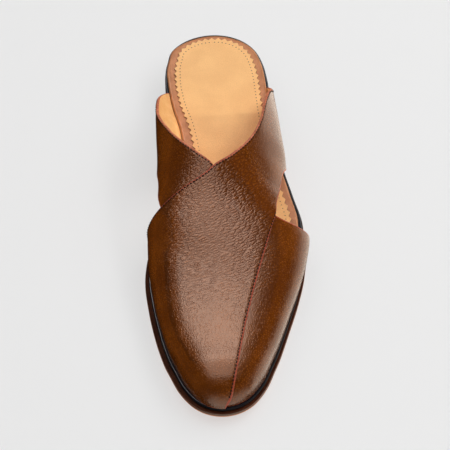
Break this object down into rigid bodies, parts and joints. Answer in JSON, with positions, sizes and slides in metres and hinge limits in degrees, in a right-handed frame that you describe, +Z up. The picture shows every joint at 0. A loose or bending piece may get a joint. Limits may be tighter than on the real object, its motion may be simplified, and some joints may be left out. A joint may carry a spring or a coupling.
{
  "type": "peshawari chappal",
  "caption": "Backless crossed-strap leather slipper for the left foot, with open side windows, a pinked sock lining and a low stacked heel.",
  "frame": {"origin": "middle of the bounding box on the floor plane the shoe stands on", "axes": "+Y from the toe towards the heel, +X to the lateral (outer) side of the left foot, +Z up from the floor"},
  "size_m": [0.111, 0.296, 0.0765],
  "materials": {
    "heel_rubber": "matt black rubber",
    "heel_leather": "polished dark brown stacked leather",
    "sole_leather": "burnished brown leather with a reddish upper edge",
    "black_edge": "waxed black edge",
    "footbed_leather": "pinkish brown leather, satin",
    "sock_leather": "smooth tan lining leather, satin",
    "upper_leather": "pebbled full-grain brown leather, soft gloss"
  },
  "bodies": {
    "root": {"heel_lift": "heel_rubber", "heel_block": "heel_leather", "outsole": "sole_leather", "midsole": "black_edge", "footbed": "footbed_leather", "sock": "sock_leather", "upper": "upper_leather"}
  },
  "joints": []
}
